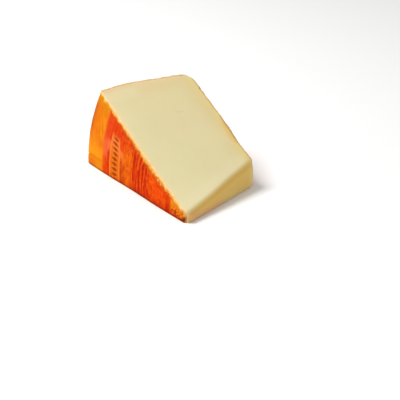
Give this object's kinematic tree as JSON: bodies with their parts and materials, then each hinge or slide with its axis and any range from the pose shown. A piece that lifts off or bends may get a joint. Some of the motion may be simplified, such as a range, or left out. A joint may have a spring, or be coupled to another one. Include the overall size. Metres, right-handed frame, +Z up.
{
  "type": "cheese wedge",
  "caption": "Wedge of semi-soft washed-rind cheese lying on one cut face, with an orange rind, a printed flat face, pale paste and an oblique cut at the tip.",
  "frame": {"origin": "middle of the footprint's bounding box, on the surface the wedge rests on", "axes": "+X from the wheel's side to the cut tip, +Y from the printed flat face to the plain flat face, +Z up from the resting cut face"},
  "size_m": [0.0954, 0.0608, 0.0463],
  "materials": {
    "paste": "pale ivory cut cheese, smooth and slightly moist, with a soft satin sheen",
    "rind": "thin orange rind, satin, with a fine cloth imprint",
    "print": "printed film on the rind's flat face, red and orange fields with brushed streaks, satin"
  },
  "bodies": {
    "root": {"cheese_wedge": "paste"}
  },
  "joints": []
}
